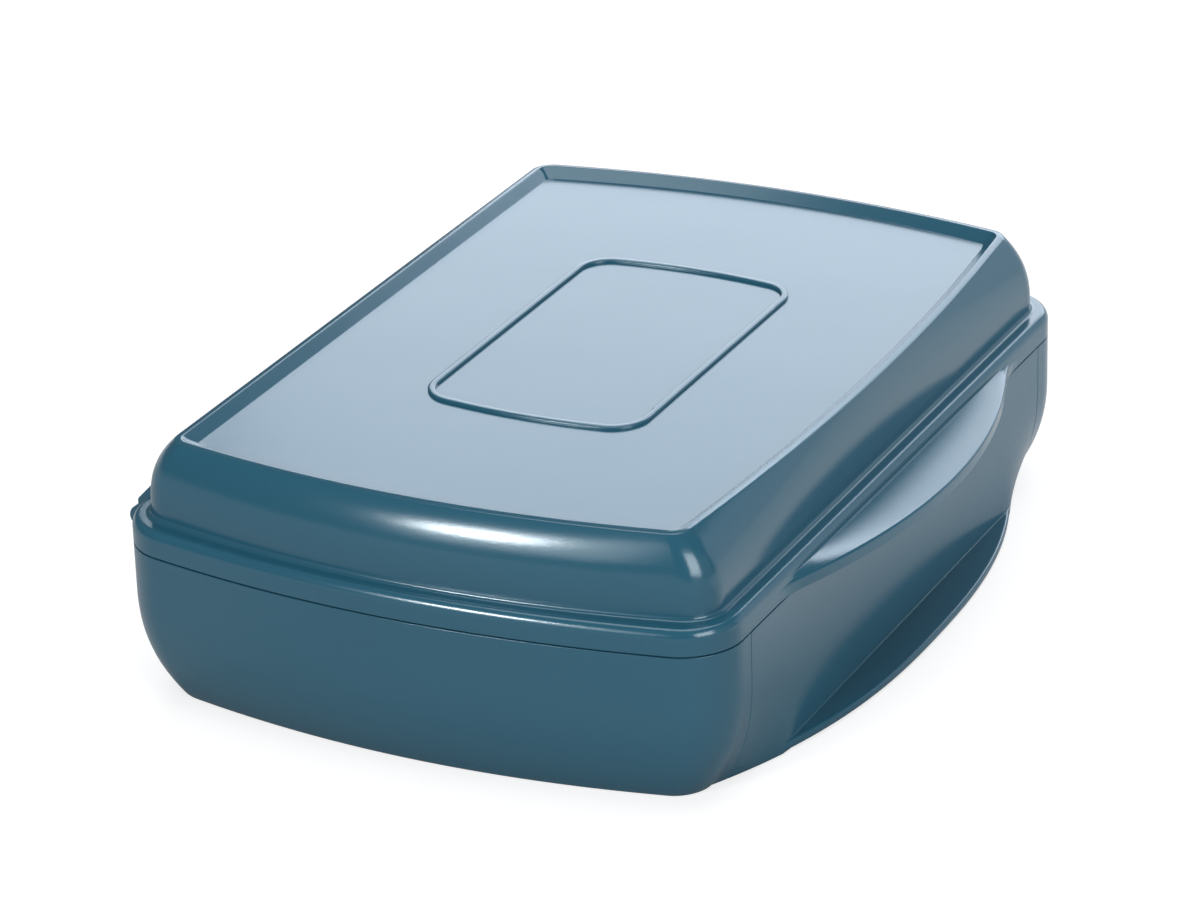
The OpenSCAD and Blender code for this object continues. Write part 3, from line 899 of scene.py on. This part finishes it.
def magnet_nickel():
    """Bright nickel plate with small bruises."""
    g = Graph("magnet_nickel")
    bruise = g.band(g.noise(900, 4, 0.6), 0.55, 0.75)
    haze = g.noise(300, 3, 0.5)
    colour = g.blend(haze, (0.58, 0.56, 0.52, 1), (0.70, 0.68, 0.64, 1))
    return g.finish(Base_Color=colour, Metallic=1.0, Roughness=0.12 + haze * 0.08 + bruise * 0.15,
                    Normal=g.bump(bruise, 0.00002, 0.3))


def dress(objects, material):
    for obj in objects:
        obj.data.materials.clear()
        obj.data.materials.append(material)


PLASTIC_LIGHT = (0.0205, 0.0990, 0.1550, 1)
PLASTIC_DEEP = (0.0180, 0.0910, 0.1430, 1)
dress([base], moulded_plastic("base_plastic", PLASTIC_LIGHT, PLASTIC_DEEP))
dress([lid], moulded_plastic("lid_plastic", PLASTIC_LIGHT, PLASTIC_DEEP))
dress([seal], seal_rubber())
dress(mats, mat_silicone())
dress(pins, pin_steel())
dress(magnets, magnet_nickel())


# ---- Camera, floor and light ----

# The camera, fitted to the photo: its place in metres, its lens for a sensor 36 mm wide, and
# how far it is turned, looks down and is rolled, in degrees.
CAMERA_PLACE = (0.31220480, -0.62432045, 0.33693917)
CAMERA_LENS = 149.5145
CAMERA_TURN = 26.6879
CAMERA_DOWN = 24.3151
CAMERA_ROLL = -1.7371

WHITE = (1, 1, 1)
COOL = (0.92, 1.0, 1.12)

# The world's strength as a light, and as the camera sees it past the floor.
AMBIENT = 0.12
BACKDROP = 1.2

# Softboxes: name, direction from the box, distance, width and height in metres, radiance and
# colour. The two walls are wide and dim, and lighten the sides that face them.
SOFTBOXES = (
    ("top_softbox", (0, 0.1, 1), 2.0, 1.7, 1.7, 2.5, WHITE),
    ("back_wall", (0.20, 1.0, 0.26), 2.2, 4.0, 1.1, 0.65, COOL),
    ("back_softbox", (-0.16, 0.885, 0.40), 1.6, 1.3, 0.75, 2.75, COOL),
    ("rim_softbox", (-0.156, 0.804, 0.62), 1.4, 0.24, 0.15, 4.4, COOL),
    ("right_wall", (1.0, -0.10, 0.26), 2.2, 2.6, 0.9, 0.28, WHITE),
    ("key_softbox", (-0.29, -0.88, 0.37), 1.5, 0.27, 0.18, 50, WHITE),
    ("fill_softbox", (-0.23, -0.925, 0.33), 1.8, 0.72, 0.64, 2.8, WHITE),
    ("side_softbox", (0.83, -0.45, 0.345), 1.5, 0.74, 0.70, 6, WHITE))


def add_camera():
    data = bpy.data.cameras.new("camera")
    data.sensor_width = 36
    data.lens = CAMERA_LENS
    camera = bpy.data.objects.new("camera", data)
    bpy.context.scene.collection.objects.link(camera)
    turn = (Matrix.Rotation(math.radians(CAMERA_TURN), 4, "Z")
            @ Matrix.Rotation(math.radians(90 - CAMERA_DOWN), 4, "X")
            @ Matrix.Rotation(math.radians(CAMERA_ROLL), 4, "Z"))
    camera.matrix_world = Matrix.Translation(CAMERA_PLACE) @ turn
    bpy.context.scene.camera = camera


def add_softbox(name, towards, distance, width, height, radiance, colour):
    """A rectangular softbox that faces the box."""
    data = bpy.data.lights.new(name, "AREA")
    data.shape = "RECTANGLE"
    data.size = width
    data.size_y = height
    data.energy = radiance * math.pi * width * height
    data.color = colour
    lamp = bpy.data.objects.new(name, data)
    bpy.context.scene.collection.objects.link(lamp)
    lamp.location = Vector(towards).normalized() * distance
    lamp.rotation_euler = (-lamp.location).to_track_quat("-Z", "Y").to_euler()


def grey(level):
    return (level, level, level, 1)


def add_floor():
    """A floor that the camera sees as a white sweep with the box's shadow on it.

    The box mirrors another floor: a darker one, painted brighter behind it and in a strip
    beside its grip side, a painted pool of light for its reflections, and that strip glows a
    little as painted light."""
    deselect()
    bpy.ops.mesh.primitive_plane_add(size=6)
    floor = bpy.context.object
    floor.name = "floor"
    g = Graph("pale_floor")
    seen = Value(g, g.node("ShaderNodeLightPath").outputs["Is Camera Ray"])
    place = g.node("ShaderNodeSeparateXYZ", None, {0: g.place})
    # Painted light on the mirrored floor: brighter behind the box and beside its grip side.
    behind = g.band(place.outputs["Y"], -0.02, 0.12)
    beside = g.band(place.outputs["X"], 0.04, 0.07) * g.band(place.outputs["Y"], -0.035, 0.005)
    painted_light_pool = 1 - (1 - behind) * (1 - beside)
    mirrored = g.blend(painted_light_pool, grey(0.54), grey(0.80))
    # Painted light: the strip beside the grip side glows a little in the box's reflections.
    painted_glow = g.blend(beside, grey(0), grey(0.06))
    dress([floor], g.finish(
        Base_Color=g.blend(seen, mirrored, grey(0.40)),
        Emission_Color=g.blend(seen, painted_glow, grey(0.73)),
        Emission_Strength=1.0, Roughness=0.9, Specular_IOR_Level=0.0))


def add_world():
    """Dim even light all round, and white where the camera sees past the floor."""
    world = bpy.data.worlds.new("studio")
    bpy.context.scene.world = world
    world.use_nodes = True
    tree = world.node_tree
    background = tree.nodes["Background"]
    path = tree.nodes.new("ShaderNodeLightPath")
    strength = tree.nodes.new("ShaderNodeMapRange")
    strength.inputs["To Min"].default_value = AMBIENT
    strength.inputs["To Max"].default_value = BACKDROP
    tree.links.new(path.outputs["Is Camera Ray"], strength.inputs["Value"])
    tree.links.new(strength.outputs["Result"], background.inputs["Strength"])
    background.inputs["Color"].default_value = (*WHITE, 1)


add_camera()
add_floor()
add_world()
for softbox in SOFTBOXES:
    add_softbox(*softbox)
bpy.context.scene.view_settings.view_transform = "Standard"
